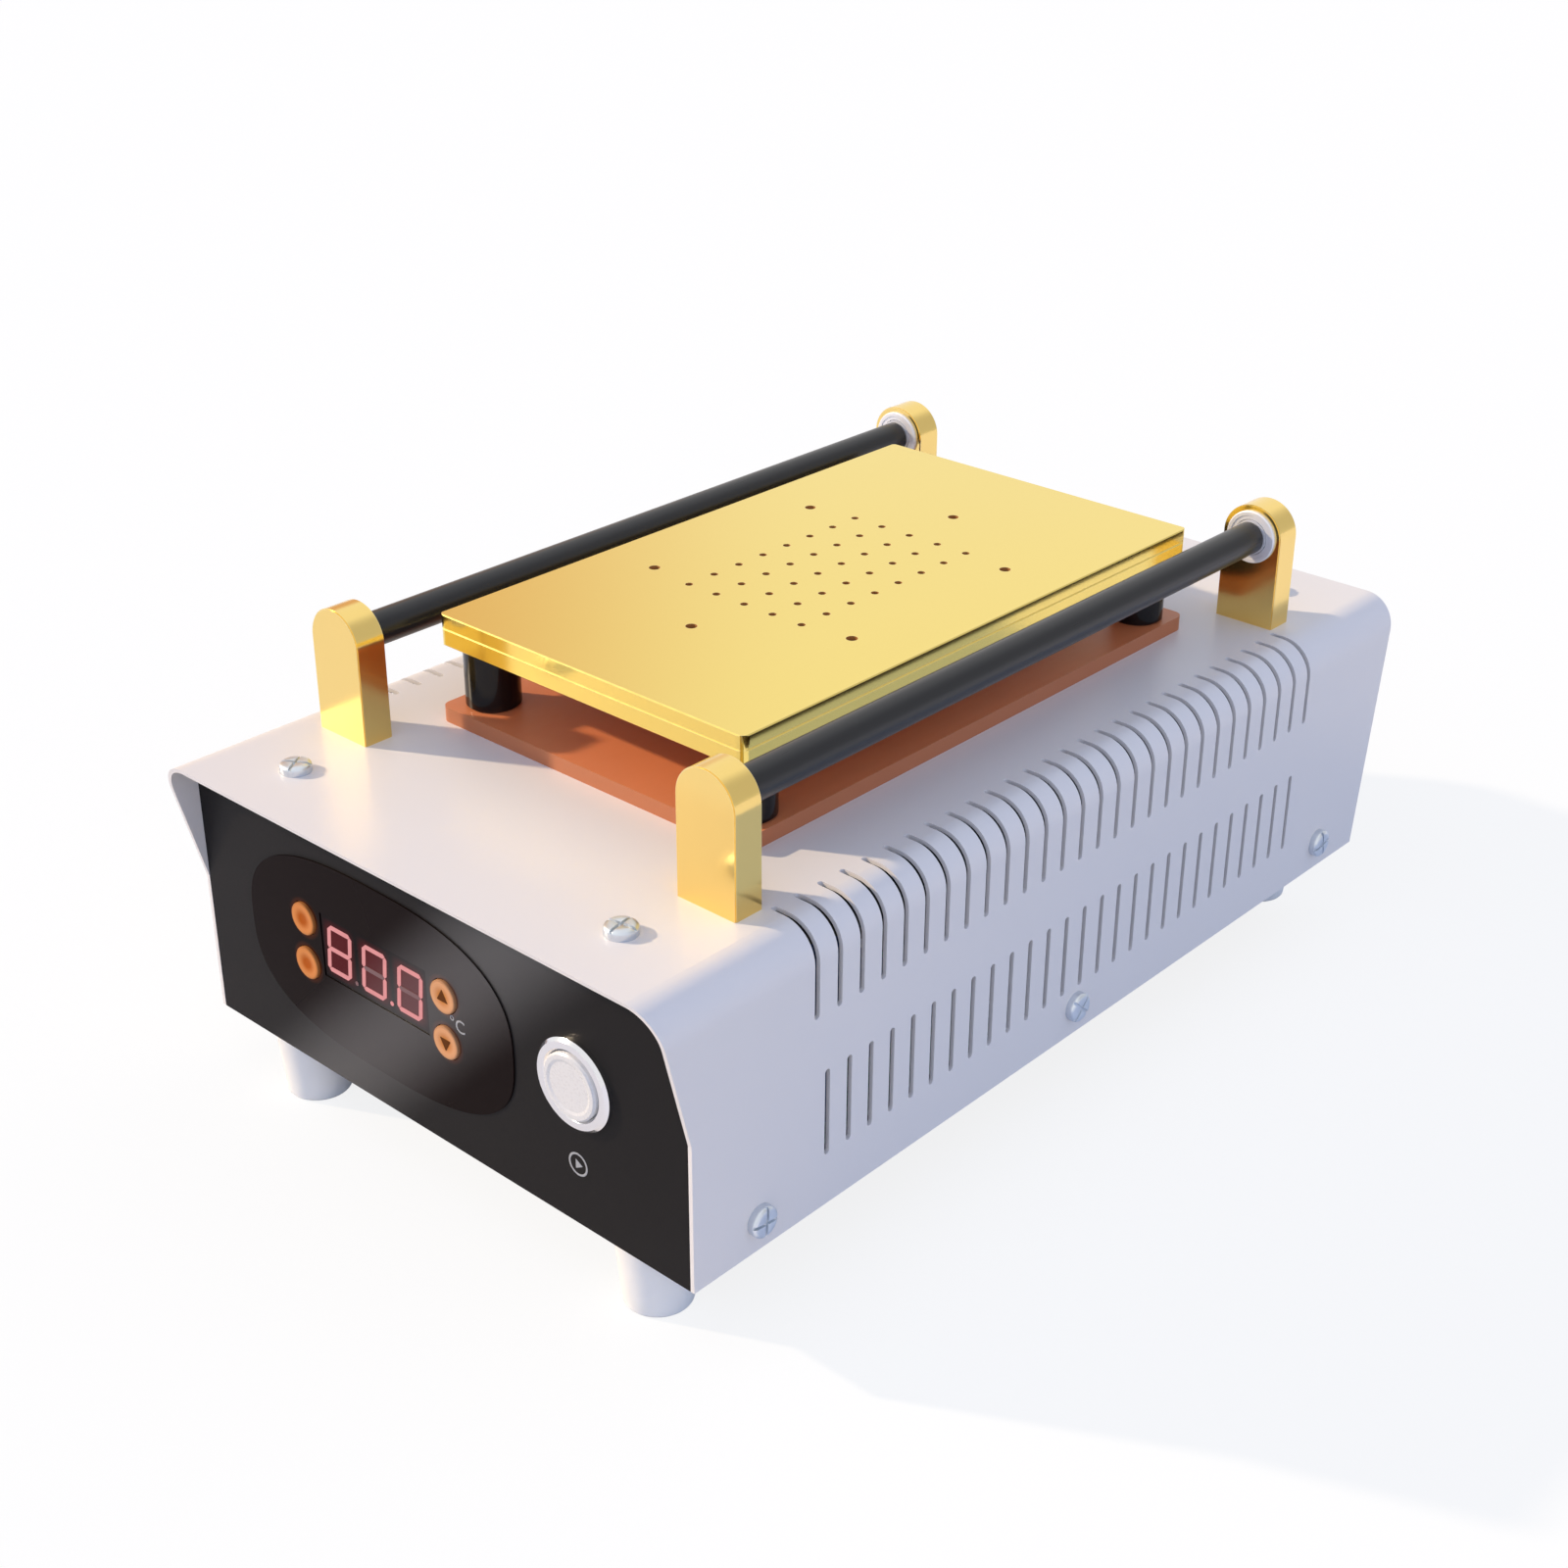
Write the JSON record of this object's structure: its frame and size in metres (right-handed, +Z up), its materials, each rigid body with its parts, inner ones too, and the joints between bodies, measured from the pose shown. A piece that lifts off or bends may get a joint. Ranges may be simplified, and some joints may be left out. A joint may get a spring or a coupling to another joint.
{
  "type": "lcd screen separator",
  "caption": "Bench machine that parts a screen's glass from its display: a heated vacuum plate between two turning rods, on a vented cabinet with a pump and a temperature control.",
  "frame": {"origin": "on the table under the middle of the cabinet, in the plane of the feet", "axes": "+X to the right as seen from the front panel, +Y to the back along the rods, +Z up"},
  "size_m": [0.1912, 0.321, 0.14],
  "materials": {
    "cover_paint": "smooth warm white powder coat, satin",
    "chassis_black": "black powder coat, satin",
    "panel_black": "satin black",
    "overlay_gloss": "gloss black film",
    "display_dark": "dark red tinted face",
    "segment_lit": "lit red segment",
    "segment_dim": "unlit segment",
    "circuit_board": "green solder mask",
    "zinc_steel": "bright zinc",
    "switch_black": "moulded black",
    "key_orange": "orange moulded key",
    "button_metal": "polished bezel",
    "button_cap": "white moulded cap",
    "inlet_black": "moulded black",
    "pin_metal": "nickel plated",
    "fuse_glass": "glass tube",
    "rocker_red": "red moulded rocker",
    "foot_rubber": "light grey rubber",
    "gold_bracket": "gold anodised, satin",
    "bearing_steel": "ground steel",
    "rod_dark": "dark satin",
    "gold_plate": "gold anodised, fine satin",
    "seal_silicone": "red silicone",
    "heater_silicone": "silicone heater mat",
    "probe_steel": "steel sheath",
    "standoff_black": "gloss black heat-proof plastic",
    "board_brown": "orange-brown laminate",
    "brass_fitting": "turned brass",
    "hose_silicone": "milky silicone",
    "black_rubber": "black rubber",
    "pump_black": "moulded black",
    "motor_steel": "drawn steel can",
    "core_steel": "varnished laminations",
    "coil_tape": "yellow tape",
    "relay_case": "cream moulded case",
    "board_parts": "blue moulded parts"
  },
  "bodies": {
    "root": {"top_cover": "cover_paint", "chassis": "chassis_black", "front_panel": "panel_black", "display_overlay": "overlay_gloss", "display_module": "display_dark", "lit_segments": "segment_lit", "unlit_segments": "segment_dim", "control_board": "circuit_board", "board_spacers": "zinc_steel", "key_switches": "switch_black", "start_button_housing": "button_metal", "start_button_nut": "zinc_steel", "mains_inlet": "inlet_black", "inlet_pins": "pin_metal", "rubber_feet": "foot_rubber", "foot_screws": "zinc_steel", "front_left_bracket": "gold_bracket", "front_right_bracket": "gold_bracket", "rear_left_bracket": "gold_bracket", "rear_right_bracket": "gold_bracket", "bracket_screws": "zinc_steel", "bearing_outer_rings": "bearing_steel", "bearing_shields": "bearing_steel", "bearing_balls": "bearing_steel", "suction_plate": "gold_plate", "chamber_plate": "gold_plate", "chamber_seal": "seal_silicone", "clamp_screws": "zinc_steel", "heater_mat": "heater_silicone", "temperature_probe": "probe_steel", "standoffs": "standoff_black", "standoff_screws": "zinc_steel", "insulating_board": "board_brown", "vacuum_nipple": "brass_fitting", "vacuum_hose": "hose_silicone", "hose_grommet": "black_rubber", "pump_head": "pump_black", "pump_motor": "motor_steel", "pump_saddle": "pump_black", "pump_mounts": "black_rubber", "transformer_core": "core_steel", "transformer_coil": "coil_tape", "heater_relay": "relay_case", "power_board": "circuit_board", "power_board_parts": "board_parts", "base_screws": "zinc_steel", "top_screws": "zinc_steel", "side_screws": "zinc_steel"},
    "left_rod_body": {"left_rod": "rod_dark", "left_inner_rings": "bearing_steel"},
    "right_rod_body": {"right_rod": "rod_dark", "right_inner_rings": "bearing_steel"},
    "start_cap_body": {"start_button_cap": "button_cap"},
    "key_upper_left_body": {"key_upper_left": "key_orange"},
    "key_lower_left_body": {"key_lower_left": "key_orange"},
    "key_up_body": {"key_up": "key_orange"},
    "key_down_body": {"key_down": "key_orange"},
    "rocker_body": {"power_rocker": "rocker_red"},
    "drawer_body": {"fuse_drawer": "inlet_black", "fuse": "fuse_glass"}
  },
  "joints": [
    {"name": "left_rod_spin", "type": "hinge", "parent": "root", "child": "left_rod_body", "pos_m": [-0.0679, 0.0015, 0.1304], "axis": [0, 1, 0], "continuous": true},
    {"name": "right_rod_spin", "type": "hinge", "parent": "root", "child": "right_rod_body", "pos_m": [0.0679, 0.0015, 0.1304], "axis": [0, 1, 0], "continuous": true},
    {"name": "start_button_press", "type": "slide", "parent": "root", "child": "start_cap_body", "axis": [0, 1, 0], "range_m": [0, 0.0025], "stiffness_N_per_m": 600, "springref_m": -0.0008},
    {"name": "key_upper_left_press", "type": "slide", "parent": "root", "child": "key_upper_left_body", "axis": [0, 1, 0], "range_m": [0, 0.0005], "stiffness_N_per_m": 2000, "springref_m": -0.0002},
    {"name": "key_lower_left_press", "type": "slide", "parent": "root", "child": "key_lower_left_body", "axis": [0, 1, 0], "range_m": [0, 0.0005], "stiffness_N_per_m": 2000, "springref_m": -0.0002},
    {"name": "key_up_press", "type": "slide", "parent": "root", "child": "key_up_body", "axis": [0, 1, 0], "range_m": [0, 0.0005], "stiffness_N_per_m": 2000, "springref_m": -0.0002},
    {"name": "key_down_press", "type": "slide", "parent": "root", "child": "key_down_body", "axis": [0, 1, 0], "range_m": [0, 0.0005], "stiffness_N_per_m": 2000, "springref_m": -0.0002},
    {"name": "power_rocker_tilt", "type": "hinge", "parent": "root", "child": "rocker_body", "pos_m": [-0.052, 0.1483, 0.0772], "axis": [0, 0, 1], "range_deg": [0, 18]},
    {"name": "fuse_drawer_slide", "type": "slide", "parent": "root", "child": "drawer_body", "axis": [0, 1, 0], "range_m": [0, 0.01]}
  ]
}
